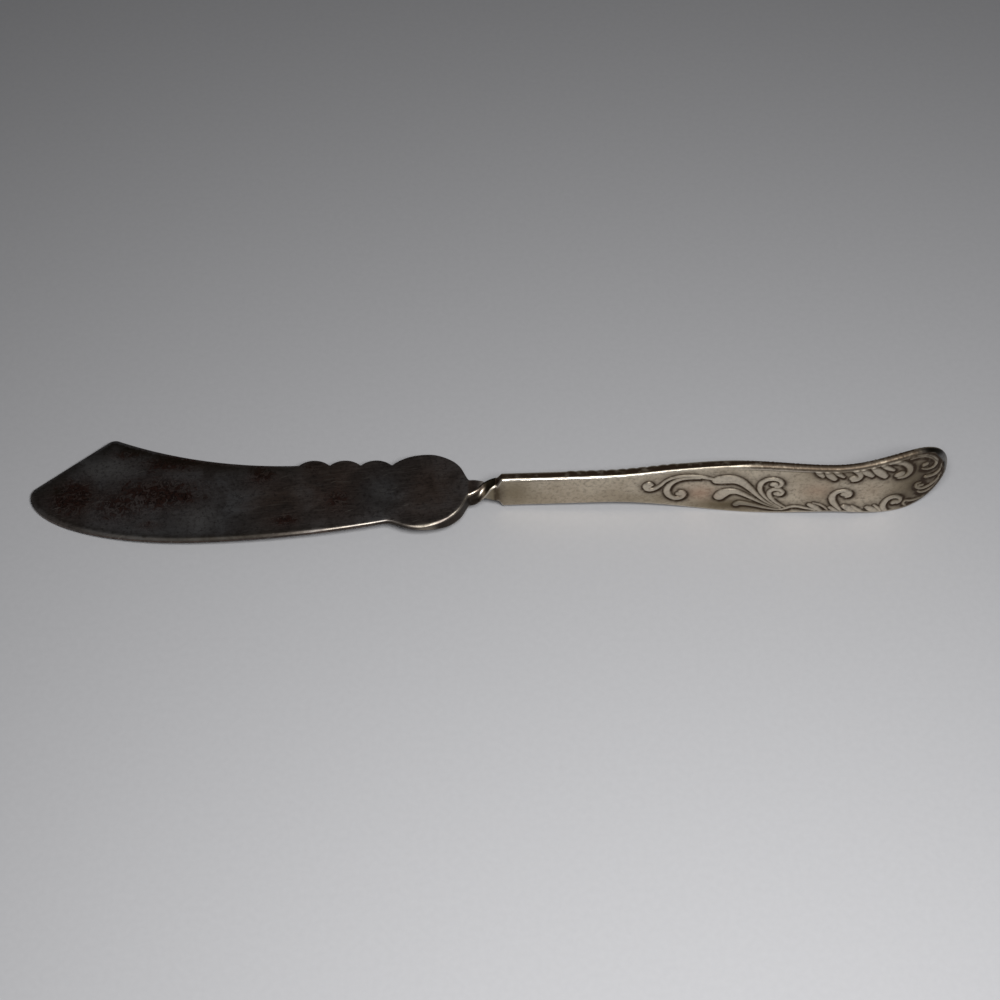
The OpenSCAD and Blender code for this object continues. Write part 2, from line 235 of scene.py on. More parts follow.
# Every stroke has a height and points (along the handle, up from its middle, half width), all in mm;
# the points were marked on the photograph and then brought to mm
STROKES = [
    # S-scroll, C-scroll and their eyes
    (0.26, [
        (30.9, 1.43, 0.45), (30.34, 1.97, 0.55), (29.62, 1.16, 0.62), (30.18, -0.01, 0.6),
        (31.46, 0.15, 0.5), (32.63, 1.22, 0.42), (33.68, 2.62, 0.4), (35.04, 3.57, 0.42),
        (36.79, 4.08, 0.45), (38.75, 4.19, 0.5), (40.72, 3.93, 0.5), (42.5, 3.4, 0.42),
        (43.7, 2.85, 0.3),
    ]),
    (0.24, [(30.08, 1.01, 0.6), (30.44, 0.92, 0.55)]),
    (0.26, [
        (40.35, 3.47, 0.3), (38.39, 3.44, 0.36), (36.63, 3.11, 0.42), (35.37, 2.4, 0.5),
        (34.32, 1.11, 0.65), (33.91, -0.52, 0.74), (34.37, -2.05, 0.7), (35.54, -2.96, 0.64),
        (36.73, -2.8, 0.58), (37.39, -1.8, 0.5), (37.17, -0.94, 0.45), (36.56, -0.75, 0.45),
    ]),
    (0.28, [(36.27, -1.54, 0.72), (36.63, -1.54, 0.72)]),
    # Three leaves
    (0.34, [
        (43.66, 2.88, 1.05), (44.47, 3.13, 1.35), (46.02, 3.38, 1.45), (47.59, 3.12, 1.25),
        (49.11, 1.98, 0.95), (50.49, 0.31, 0.7), (51.78, -1.48, 0.5), (53.16, -3.14, 0.38),
        (54.73, -4.48, 0.28), (56.58, -5.48, 0.2),
    ]),
    (0.34, [
        (44.35, -2.24, 1.25), (44.99, -1.29, 1.35), (46.04, -0.59, 1.05), (47.4, -0.47, 0.8),
        (48.82, -1.14, 0.6), (50.25, -2.13, 0.5), (51.9, -3.33, 0.38), (53.55, -4.46, 0.28),
        (55.18, -5.26, 0.22), (56.8, -5.81, 0.18),
    ]),
    (0.28, [
        (47.76, -4.7, 0.72), (48.41, -4.27, 0.78), (49.8, -4.41, 0.62), (51.41, -4.88, 0.48),
        (53.02, -5.41, 0.4), (55.03, -5.94, 0.3), (57.02, -6.2, 0.2),
    ]),
    # Two scrolls that spring from the foot of the leaves, and their eyes
    (0.28, [
        (56.57, -5.35, 0.2), (54.79, -3.87, 0.28), (53.49, -2.27, 0.38), (52.49, -0.53, 0.5),
        (52.15, 1.1, 0.6), (52.44, 2.54, 0.62), (53.38, 3.51, 0.58), (54.71, 3.82, 0.58),
        (55.87, 3.38, 0.55), (56.33, 2.42, 0.5), (55.97, 1.5, 0.45), (55.28, 1.35, 0.42),
    ]),
    (0.28, [(54.65, 2.04, 0.68), (55.15, 2.06, 0.66)]),
    (0.28, [
        (57.97, -5.7, 0.2), (56.3, -4.42, 0.34), (55.02, -3.07, 0.45), (54.17, -1.51, 0.54),
        (54.15, -0.2, 0.54), (54.92, 0.49, 0.52), (55.93, 0.42, 0.5), (56.65, -0.31, 0.46),
        (56.44, -1.1, 0.42), (55.87, -1.32, 0.4),
    ]),
    (0.26, [(55.41, -0.94, 0.58), (55.75, -0.76, 0.56)]),
    # Wave, flutes and scrolls along the lower edge
    (0.2, [
        (55.84, -6.24, 0.2), (57.39, -5.79, 0.34), (58.52, -5.12, 0.42), (59.88, -4.98, 0.42),
        (61.5, -5.49, 0.38), (63.52, -6.14, 0.3),
    ]),
    (0.26, [(62.08, -4.28, 0.45), (62.91, -4.8, 0.7), (63.87, -5.6, 0.62), (64.73, -6.41, 0.35)]),
    (0.18, [(62.92, -3.8, 0.25), (64.24, -4.33, 0.32), (65.31, -5.27, 0.3), (65.89, -6.15, 0.2)]),
    (0.24, [(66.29, -5.28, 0.42), (67, -5.83, 0.55), (68.01, -6.73, 0.35)]),
    (0.28, [
        (68.45, -6.14, 0.35), (67.61, -4.91, 0.55), (66.77, -3.49, 0.72), (66.46, -1.96, 0.74),
        (66.84, -0.66, 0.66), (67.82, 0.04, 0.58), (68.99, 0.06, 0.56), (69.87, -0.57, 0.5),
        (69.81, -1.49, 0.45), (69.18, -1.78, 0.42),
    ]),
    (0.28, [(68.55, -1.03, 0.62), (69.05, -0.96, 0.7)]),
    (0.3, [(69.01, -4.89, 0.6), (69.75, -5.46, 0.85), (70.74, -6.47, 0.7), (71.73, -7.46, 0.35)]),
    (0.22, [(70.58, -4.99, 0.3), (71.57, -6.03, 0.48), (72.89, -7.29, 0.4)]),
    (0.28, [(73.61, -5.74, 0.5), (74.49, -6.52, 0.8), (75.61, -7.67, 0.6)]),
    (0.24, [(74.95, -5.36, 0.28), (75.88, -6.53, 0.36), (76.53, -7.79, 0.3)]),
    (0.3, [
        (77.68, -8.15, 0.45), (76.9, -6.56, 0.66), (76.99, -4.98, 0.72), (77.78, -3.9, 0.68),
        (78.95, -3.73, 0.6), (80.03, -4.55, 0.52), (80.21, -5.63, 0.46), (79.73, -6.03, 0.44),
    ]),
    (0.28, [(78.91, -5.64, 0.7), (79.35, -5.61, 0.68)]),
    # Flutes and hooks along the upper edge
    (0.26, [(62.68, 6.34, 0.35), (63.48, 5.58, 0.66), (64.06, 4.88, 0.5)]),
    (0.3, [(64.66, 5.9, 0.42), (65.51, 5, 0.85), (66.37, 4.09, 0.66)]),
    (0.26, [(66.03, 6.4, 0.35), (67, 5.55, 0.6), (68.05, 4.63, 0.4)]),
    (0.28, [
        (68.48, 6.84, 0.35), (69.75, 6.6, 0.5), (70.88, 5.75, 0.62), (71.31, 4.62, 0.6),
        (70.84, 3.7, 0.55), (69.98, 3.45, 0.5),
    ]),
    (0.28, [(69.8, 4.1, 0.72), (70.16, 4.27, 0.7)]),
    (0.28, [(71.44, 6.64, 0.42), (72.44, 5.56, 0.78), (73.52, 4.49, 0.55)]),
    (0.3, [(73.57, 6.71, 0.5), (74.89, 5.29, 0.98), (76.13, 3.7, 0.66)]),
    (0.24, [(75.33, 7.16, 0.42), (76.54, 6.14, 0.62), (77.72, 5.15, 0.34)]),
    (0.32, [
        (76.73, 7.54, 0.42), (78.1, 7.49, 0.55), (79.57, 6.71, 0.64), (80.79, 5.13, 0.7),
        (81.04, 3.55, 0.68), (80.34, 2.57, 0.6), (79.04, 2.51, 0.5),
    ]),
    (0.3, [(78.61, 3.37, 0.72), (79.37, 3.6, 0.85)]),
    # Hooks and ribs that follow the rounded end
    (0.3, [
        (80.79, 7.44, 0.22), (82.12, 7.56, 0.34), (83.78, 7.12, 0.4), (85.38, 5.78, 0.44),
        (86.38, 4, 0.44), (86.02, 2.58, 0.42), (84.85, 2.47, 0.36), (83.57, 3.19, 0.28),
    ]),
    (0.28, [(83.82, 4.27, 0.56), (84.33, 4.37, 0.5)]),
    (0.3, [
        (87.72, 2.25, 0.2), (87.55, 0.64, 0.34), (86.64, -0.22, 0.46), (85.43, -0.15, 0.5),
        (84.62, 0.08, 0.44),
    ]),
    (0.3, [
        (87.94, -0.81, 0.2), (87.35, -2.47, 0.3), (86.23, -3.34, 0.4), (85.11, -3.61, 0.46),
        (83.96, -3.32, 0.44), (83.08, -2.31, 0.4), (83.03, -1.37, 0.36), (83.85, -1.36, 0.28),
    ]),
    (0.26, [(83.68, -2.25, 0.5), (84.37, -2.44, 0.4)]),
    (0.26, [
        (87.76, -2.63, 0.2), (86.85, -4.42, 0.3), (85.52, -4.99, 0.38), (84.33, -4.79, 0.36),
        (83.62, -4.12, 0.26),
    ]),
    (0.26, [
        (87.14, -4.95, 0.18), (85.81, -6.44, 0.3), (83.99, -6.79, 0.38), (82.43, -6.55, 0.4),
        (81.4, -6.1, 0.36), (81.03, -6.73, 0.34), (81.54, -7.85, 0.28),
    ]),
]


# Share of their widths at which the strokes are drawn
SLENDER = 0.9


def through(points, step=0.08):
    """A smooth curve through the points, with all their values, at small steps."""
    p = np.array(points, float)
    p = np.vstack([2 * p[0] - p[1], p, 2 * p[-1] - p[-2]])
    parts = []
    for a, b, c, d in zip(p, p[1:], p[2:], p[3:]):
        n = max(2, int(np.hypot(*(c - b)[:2]) / step))
        t = (np.arange(n) / n)[:, None]
        square = 2 * a - 5 * b + 4 * c - d
        cube = 3 * b - a - 3 * c + d
        parts.append(0.5 * (2 * b + (c - a) * t + square * t ** 2 + cube * t ** 3))
    return np.vstack(parts + [p[-2:-1]])


def relief(u, v, strokes):
    """Height of the strokes over the ground, and distance to the nearest outline (below 0 inside it)."""
    height = np.zeros(u.shape)
    gap = np.full(u.shape, 9.0)
    reach = 1.6
    wall = 1.1
    for top, points in strokes:
        line = through(points) * (1, 1, SLENDER)
        margin = line[:, 2].max() + reach
        lo, hi = line[:, :2].min(0) - margin, line[:, :2].max(0) + margin
        near = np.nonzero((u > lo[0]) & (u < hi[0]) & (v > lo[1]) & (v < hi[1]))
        d = np.hypot(u[near][:, None] - line[:, 0], v[near][:, None] - line[:, 1])
        best = np.argmin(d - line[:, 2], axis=1)
        row = np.arange(len(best))
        r = line[best, 2]
        out = d[row, best] - r
        q = np.clip(1 + out / np.minimum(r, wall), 0, 1)
        height[near] = np.maximum(height[near], top * np.minimum(r / 0.5, 1) * (1 - q ** 2.4) ** 0.6)
        gap[near] = np.minimum(gap[near], out)
    return height, gap


# One skin for the whole knife; each face belongs to one of the three pieces
PIECES = ("blade", "twisted_neck", "handle")
skin_points = []
skin_marks = []
skin_faces = {name: [] for name in PIECES}


# tarnish: plate gone almost black; the second mark: dirt in the recesses, together with painted shade and
# shadow round the handle's strokes, at the foot of its shoulder and below the neck's swelling, and a painted
# dark reflection on the handle's edges and along the top of its rim; the third mark: bright metal on the
# arrises, together with a painted highlight on the neck's swelling; stain: red-brown spots on the tarnish and
# copper showing through the worn plate;
# brown: tarnish that is not blue-grey, paler tarnish where it is below 0, and dull plate on the handle;
# lower down the end's rim it is paler, as a painted reflection
MARKS = ("tarnish", "grime", "wear", "stain", "brown")


def put(points, **marks):
    """Adds points in the knife's frame with their marks, and returns their numbers in the same layout."""
    start = sum(len(p) for p in skin_points)
    shape = points.shape[:-1]
    skin_points.append(points.reshape(-1, 3))
    skin_marks.append(np.stack([np.broadcast_to(marks.get(m, 0.0), shape).reshape(-1) for m in MARKS], -1))
    return start + np.arange(int(np.prod(shape))).reshape(shape)


def bridge(piece, a, b):
    """Faces between two rows of point numbers."""
    quads = np.stack([a[:-1], a[1:], b[1:], b[:-1]], -1)
    skin_faces[piece].extend(map(tuple, quads.tolist()))


# Share of an edge's width at which points lie, from the edge inwards
EDGE_STEPS = np.array([0, 0.03, 0.1, 0.2, 0.35, 0.55, 0.78, 1.0])
EDGE_COUNT = len(EDGE_STEPS)
ACROSS_STEPS = 91
BAND_STEPS = 7
# Share of the way down an edge at which the points of its band lie
BAND_SHARES = np.arange(1, BAND_STEPS + 1) / (BAND_STEPS + 1)
NECK_RINGS = 61
HANDLE_STEP = 0.16
END_RINGS = 161
# Spacing of the loose points that fill the blade, and their reach across it
LOOSE = 0.45
LOOSE_ACROSS = (-11, 16)


def fall(f, bevel=0.0):
    """How far a rounded edge has fallen at the share f of its width: 1 at the edge, 0 on the face."""
    return 1 - (bevel * f + (1 - bevel) * np.sqrt(np.clip(1 - (1 - f) ** 2, 0, 1)))


def sheet_lines(half, b_near, b_far):
    """Places across a sheet from the near edge (+half) to the far edge, closer together beside the edges."""
    inner = np.linspace(half - b_near, -half + b_far, ACROSS_STEPS + 2)[1:-1]
    return np.concatenate([half - EDGE_STEPS * b_near, inner, (-half + EDGE_STEPS * b_far)[::-1]])


# Edges of the neck as (width, fall, flatness), beside the blade, in the middle of the turn and beside the
# handle: near and far edge of the upper sheet, then of the lower sheet
ROOT_EDGES = ((0.4, 0.42, 0.3), (0.3, 0.25, 0.0), (0.35, 0.3, 0.0), (0.3, 0.25, 0.0))
TURN_EDGES = ((0.4, 0.4, 0.3), (0.3, 0.25, 0.0), (0.45, 0.36, 0.8), (0.35, 0.3, 0.0))
SHOULDER_EDGES = ((0.3, 0.25, 0.0), (0.3, 0.25, 0.0), (0.32, 0.42, 0.6), (0.35, 0.3, 0.0))
# Fall of the bevel along the top of the stem, as (distance from the neck, size);
# it catches the light where it is largest
STEM_FALL = [(0, 0.42), (14, 0.4), (22, 0.45), (33, 0.42), (42, 0.28)]
# Width of the same bevel, as a share of its width beside the neck
STEM_WIDTH = [
    (0, 0.5), (1.5, 0.6), (3, 1.2), (6, 0.9), (10, 0.75), (18, 0.8), (23, 1.2), (33, 1.2), (42, 1.0),
]
# Width and fall of the rounding below the stem
STEM_FOOT = [(0, 0.35), (6, 0.55), (26, 0.55), (34, 0.35)]

# Bevel of the upper face along the spreading edge, as (distance from the neck, size): its width and its fall
NEAR_WIDTH = [
    (0, 0.4), (1.5, 0.3), (3.75, 0.35), (6.15, 0.55), (9.35, 0.65), (12.75, 0.28), (16.75, 0.25),
    (23.75, 0.3), (33.75, 0.5), (41.75, 0.62), (88, 0.62),
]
NEAR_FALL = [
    (0, 0.42), (1.5, 0.3), (3.75, 0.36), (6.15, 0.4), (9.35, 0.42), (12.75, 0.25), (16.75, 0.22),
    (23.75, 0.24), (33.75, 0.25), (41.75, 0.24), (88, 0.22),
]
# How straight its slope is: 0 is round, 1 is flat
NEAR_FLAT = [(0, 0.3), (6, 0.5), (25, 0.5), (35, 0.95)]
# How bright the bevel is rubbed, and how dirty it is
NEAR_WEAR = [
    (0, 1.0), (2.6, 0.95), (4.2, 0.2), (6, 0.15), (7.5, 0.9), (10, 0.9), (12, 0.4), (16.75, 0.5),
    (25.75, 0.55), (33, 0.15), (39.75, 0.1), (51.75, 0.1), (88, 0.2),
]
NEAR_GRIME = [(28, 0), (36, 0.5), (44, 0.75), (56, 0.75), (70, 0.3), (80, 0)]
# The same along the spine: width, fall and how bright it is rubbed
SPINE_WIDTH = [(0, 0.3), (6, 0.5)]
SPINE_FALL = [(0, 0.25), (6, 0.35)]
SPINE_WEAR = [(50, 0.45), (75, 0.8)]
# Width and fall of the rounding under the blade, along the spreading edge and along the spine
UNDER_NEAR_WIDTH = [(0, 0.35), (15, 0.4), (30, 0.8)]
UNDER_NEAR_FALL = [(0, 0.3), (15, 0.3), (30, 0.35)]
UNDER_SPINE_WIDTH = [(0, 0.3), (6, 0.4)]
UNDER_SPINE_FALL = [(0, 0.25), (6, 0.3)]
# How bright and how dirty the edge between the two faces is along the spreading edge
EDGE_WEAR = [(0, 0), (6, 0), (7.5, 0.5), (9.5, 0.5), (11.5, 0), (88, 0)]
EDGE_GRIME = [(0, 0.75), (6, 0.65), (8, 0), (11, 0.2), (14, 0.8), (17, 0.7), (22, 0.15), (30, 0), (88, 0)]

# Red-brown stains on the blade: distance from the neck, across, half length, half height, strength
BLADE_STAINS = [
    (80, 0.5, 4.8, 4.8, 1.0), (62.8, 1, 9.5, 4.6, 0.85), (56.65, 0, 1.6, 1.6, 1.0),
    (60.5, 8.8, 7.5, 2.2, 0.85), (69.5, 11.4, 4.5, 1.6, 0.7), (41.85, 5, 3, 2.4, 0.9),
    (63.95, -6.7, 3, 1.4, 0.5), (36.45, -6.4, 3, 1.6, 0.8), (26.35, -1.8, 3, 3.4, 0.7),
    (31.65, 6.7, 2.4, 1.6, 0.5), (70, -1.5, 8, 4.6, 0.7),
]
# Where the tarnish is brown, and where it is blue-grey again
BLADE_BROWN = [
    (37.75, -2, 8, 9, 1.0), (26.75, 2, 12, 12, 1.0), (8.75, 0, 10, 12, 1.0), (79.75, 0, 6, 7, 0.7),
    (50.75, 9, 13, 3, 0.8),
]
BLADE_BLUE = [(17.75, -0.4, 4.5, 4.5, 0.7), (53.75, -5.3, 6, 4, 0.7), (73.75, 7.5, 7, 3.4, 1.0)]
# How dirty it is under the spine, and where else black dirt lies on it
SPINE_GRIME = [(26, 0.5), (42, 0.75), (62, 0.9), (74, 0.95), (78, 0.35), (85, 0.8)]
BLADE_DIRT = [(69.8, 13, 3.4, 1.8, 1.0), (83.2, 2.4, 1.3, 1.1, 0.8), (29.5, 6.3, 1.6, 0.7, 0.7)]
# Copper showing through on the handle: along, up, half length, half height, strength
HANDLE_STAINS = [(40.6, -1.2, 3.4, 2.4, 0.9), (63.5, 0.2, 3, 2.2, 0.5), (74, -1, 4, 2.5, 0.2)]
# Where the handle is dull: the stem, the ground below the leaves and the ground beside the end
HANDLE_DULL = [
    (0.3, 0, 0.9, 5, 1.0), (3, 0, 5, 5, 0.7), (33, -3, 9, 2.5, 0.5), (46, -5, 9, 2.2, 1.0),
    (82, 0, 5, 9, 0.8), (70, 5, 9, 2, 0.4),
]
# Where it is darkened: brown tarnish beside the neck, a painted shadow at the foot of its shoulder, and
# darker ground below the leaves
HANDLE_DIRT_AND_SHADE = [(0, 0, 1.6, 4, 0.8), (0.4, -3, 0.6, 0.9, 1.0), (48, -5.2, 6, 1.5, 0.35)]


def spots(x, y, places):
    """Soft oval spots, as a share from 0 to 1."""
    total = np.zeros(np.shape(x))
    for at_x, at_y, half_x, half_y, strength in places:
        total = np.maximum(total, strength * peak(x, at_x, half_x) * peak(y, at_y, half_y))
    return total


def blade_stain(s, y):
    """How red-brown and how brown the blade's tarnish is; below 0 it is paler."""
    blue = spots(s, y, BLADE_BLUE)
    return np.minimum(1.3 * spots(s, y, BLADE_STAINS), 1), spots(s, y, BLADE_BROWN) * (1 - blue) - 0.6 * blue


# Blade: s is the distance from the neck and y the way across to the spine,
# b and h are the width and the fall of an edge and f is a share of its width

# Spacing of the fine outline from which the points are picked
FINE = 0.02
# The CAD outline is made of short straight lines, and the smooth one stays a hair inside it
INSET = 0.005
# Where the dirt along the bevels starts, past the lobe
DIRT_FROM = 26


def smoothed(values, count):
    """Moving average over an odd count of values."""
    return np.convolve(np.pad(values, count // 2, mode="edge"), np.ones(count) / count, "valid")


def nearest(line, points):
    """Distance from every point to the nearest point of the line."""
    return np.array([np.min(np.hypot(*(line - p).T)) for p in points])


def inside_of(border, point):
    """Whether the point lies inside the closed border."""
    a, b = border, np.roll(border, -1, 0)
    cross = (a[:, 1] > point[1]) != (b[:, 1] > point[1])
    at = a[cross, 0] + (point[1] - a[cross, 1]) / (b[cross, 1] - a[cross, 1]) * (b[cross, 0] - a[cross, 0])
    return np.count_nonzero(at > point[0]) % 2 == 1


def blade_outline():
    """Points (s, y) round the blade, from the far side of the neck to its near side, and the ways inward."""
    s_end = TIP_CENTRE + TIP_R * math.sin(CLIP_ANGLE)
    s_far = np.concatenate([np.linspace(0, 3, 400), np.linspace(3, s_end, 5000)[1:]])
    far = np.stack([s_far, far_height(s_far)], -1)
    a = np.linspace(CLIP_ANGLE, math.pi / 2, 300)[1:]
    tip = np.stack([TIP_CENTRE + TIP_R * np.sin(a), TIP_RISE + TIP_R * np.cos(a)], -1)
    a = np.linspace(math.pi / 2, 0, 2500)[1:]
    s_belly = BELLY_AT + (BLADE_LEN - BELLY_AT) * np.sin(a)
    belly = np.stack([s_belly, TIP_RISE - (BELLY_DEPTH + TIP_RISE) * np.cos(a)], -1)
    s_near = np.concatenate([np.linspace(BELLY_AT, 3, 3000)[1:], np.linspace(3, 0, 400)[1:]])
    near = np.stack([s_near, -near_height(s_near)], -1)
    dense = np.vstack([far, tip, belly, near])
    run = np.concatenate([[0], np.cumsum(np.linalg.norm(np.diff(dense, axis=0), axis=1))])
    even = np.append(np.arange(0, run[-1], FINE), run[-1])
    line = np.stack([np.interp(even, run, dense[:, i]) for i in (0, 1)], -1)
    tangent = np.gradient(line, axis=0)
    tangent = np.stack([smoothed(tangent[:, i], 9) for i in (0, 1)], -1)
    tangent /= np.linalg.norm(tangent, axis=1)[:, None]
    # The points lie closer together where the outline turns
    turn = np.abs(np.gradient(np.unwrap(np.arctan2(tangent[:, 1], tangent[:, 0])))) / FINE
    spacing = np.clip(0.1 / np.maximum(smoothed(turn, 21), 1e-6), 0.05, 0.4)
    measure = np.concatenate([[0], np.cumsum(FINE / spacing[1:])])
    places = np.arange(len(line))
    pick = np.interp(np.linspace(0, measure[-1], int(measure[-1]) + 1), measure, places)
    points = np.stack([np.interp(pick, places, line[:, i]) for i in (0, 1)], -1)
    along_s, along_y = (np.interp(pick, places, tangent[:, i]) for i in (0, 1))
    inward = np.stack([along_y, -along_s], -1)
    inward[0], inward[-1] = (0, -1), (0, 1)
    inward /= np.linalg.norm(inward, axis=1)[:, None]
    return points + INSET * inward, inward


def fill_face(sign, line, ring, b, innermost, seam):
    """Fills the flat of one face with triangles, from its innermost ring and a loose grid."""
    ring[0], ring[-1] = (0, ROOT_HALF - b[0]), (0, -ROOT_HALF + b[-1])
    seam_y = sheet_lines(ROOT_HALF, b[-1], b[0])[EDGE_COUNT:-EDGE_COUNT]
    border = np.vstack([ring, np.stack([0 * seam_y, -seam_y], -1)])
    numbers = np.concatenate([innermost, seam[EDGE_COUNT:-EDGE_COUNT]])
    gx, gy = np.meshgrid(np.arange(LOOSE, BLADE_LEN, LOOSE), np.arange(*LOOSE_ACROSS, LOOSE))
    grid = np.stack([gx.ravel(), gy.ravel()], -1)
    gaps = nearest(border, grid)
    inside = np.array([inside_of(border, g) for g in grid])
    grid = grid[inside & (gaps > LOOSE / 2)]
    z = sign * blade_thickness(grid[:, 0]) / 2
    # Dirt lies along the bevels, and wider along the spine
    past_lobe = line[:, 0] > DIRT_FROM
    belly = nearest(ring[past_lobe & (line[:, 1] < 0)], grid)
    spine = nearest(ring[past_lobe & (line[:, 1] > 3)], grid)
    under_spine = eased(SPINE_GRIME, grid[:, 0])
    grime = np.maximum(0.7 * peak(belly, 0, 0.9), under_spine * peak(spine, 0, 2.5))
    grime = np.maximum(grime, spots(grid[:, 0], grid[:, 1], BLADE_DIRT))
    stain, brown = blade_stain(grid[:, 0], grid[:, 1])
    loose = put(
        np.stack([BLADE_ROOT_X - grid[:, 0], grid[:, 1], z], -1),
        tarnish=1.0, grime=grime, stain=stain, brown=brown,
    )
    numbers = np.concatenate([numbers, loose])
    corners = [Vector(c) for c in np.vstack([border, grid])]
    found = geometry.delaunay_2d_cdt(corners, [], [list(range(len(border)))], 1, 1e-7)
    source = [numbers[o[0]] for o in found[3]]
    skin_faces["blade"].extend(tuple(int(source[i]) for i in f) for f in found[2])


def blade_skin(seam_upper, seam_lower, seam_near, seam_far):
    """The blade's two faces, its bevels and its edge, closed onto the seam's point numbers."""
    line, inward = blade_outline()
    s, y = line[:, 0], line[:, 1]
    # 1 along the spreading edge, 0 along the spine, changing over at the tip
    near = np.where(s > 70, ease((TIP_RISE + 1.5 - y) / 3.5), (y < 0) * 1.0)

    def all_round(spine, spreading):
        return eased(spine, s) * (1 - near) + eased(spreading, s) * near

    b_up = all_round(SPINE_WIDTH, NEAR_WIDTH)
    h_up = all_round(SPINE_FALL, NEAR_FALL)
    b_low = all_round(UNDER_SPINE_WIDTH, UNDER_NEAR_WIDTH)
    h_low = all_round(UNDER_SPINE_FALL, UNDER_NEAR_FALL)
    rub = all_round(SPINE_WEAR, NEAR_WEAR)
    rub_at = 0.15 + 0.3 * near
    flat = near * eased(NEAR_FLAT, s)
    thick = blade_thickness(s)
    x = BLADE_ROOT_X - s
    rings = {}
    for sign, b, h, seam in ((1, b_up, h_up, seam_upper), (-1, b_low, h_low, seam_lower)):
        rows = []
        for j, f in enumerate(EDGE_STEPS):
            p = line + inward * (b * f)[:, None]
            t = blade_thickness(p[:, 0])
            z = sign * (t / 2 - h * fall(f, flat))
            bright = rub * peak(f, rub_at, 0.2 + 0.2 * near)
            stain, brown = blade_stain(p[:, 0], p[:, 1])
            inner = put(
                np.stack([BLADE_ROOT_X - p[1:-1, 0], p[1:-1, 1], z[1:-1]], -1),
                tarnish=1.0, wear=bright[1:-1], stain=stain[1:-1], brown=brown[1:-1],
                grime=(near * eased(NEAR_GRIME, s))[1:-1],
            )
            rows.append(np.concatenate([[seam[len(seam) - 1 - j]], inner, [seam[j]]]))
        for a, c in zip(rows, rows[1:]):
            bridge("blade", a, c)
        rings[sign] = rows
        fill_face(sign, line, line + inward * b[:, None], b, rows[-1], seam)
    # The edge itself, between the outermost rings of the two faces
    upper, lower = rings[1][0], rings[-1][0]
    rows = [upper]
    for share, far_seam, near_seam in zip(BAND_SHARES, seam_far, seam_near):
        z = (thick / 2 - h_up) * (1 - share) + (h_low - thick / 2) * share
        middle = put(
            np.stack([x, y, z], -1)[1:-1], tarnish=1.0, brown=1.0,
            wear=(near * eased(EDGE_WEAR, s))[1:-1],
            grime=(near * eased(EDGE_GRIME, s) + 0.5 * (1 - near))[1:-1],
        )
        rows.append(np.concatenate([[far_seam], middle, [near_seam]]))
    rows.append(lower)
    for a, c in zip(rows, rows[1:]):
        bridge("blade", a, c)


# Neck and handle: rings of points, each an upper sheet, a far edge, a lower sheet and a near edge

def ring_section(half, thick, edges):
    """One section as points (across, through): upper sheet, far band, lower sheet and near band."""
    near_upper, far_upper, near_lower, far_lower = edges
    sheets = []
    sides = ((1, near_upper, far_upper), (-1, near_lower, far_lower))
    for sign, (near_b, near_h, near_flat), (far_b, far_h, far_flat) in sides:
        a = sheet_lines(half, near_b, far_b)
        c = np.full(a.shape, thick / 2)
        c[:EDGE_COUNT] -= near_h * fall(EDGE_STEPS, near_flat)
        c[-EDGE_COUNT:] -= far_h * fall(EDGE_STEPS, far_flat)[::-1]
        sheets.append(np.stack([a, sign * c], -1))
    far = sheets[0][-1] + (sheets[1][-1] - sheets[0][-1]) * BAND_SHARES[:, None]
    near = sheets[0][0] + (sheets[1][0] - sheets[0][0]) * BAND_SHARES[:, None]
    return np.vstack([sheets[0], far, sheets[1][::-1], near[::-1]])


SHEET = ACROSS_STEPS + 2 * EDGE_COUNT
RING = 2 * SHEET + 2 * BAND_STEPS

# Neck: k is the share of its length, from the blade to the handle
upper_edge = slice(0, EDGE_COUNT)
lower_edge = slice(RING - BAND_STEPS - EDGE_COUNT, RING - BAND_STEPS)
near_band = slice(RING - BAND_STEPS, RING)
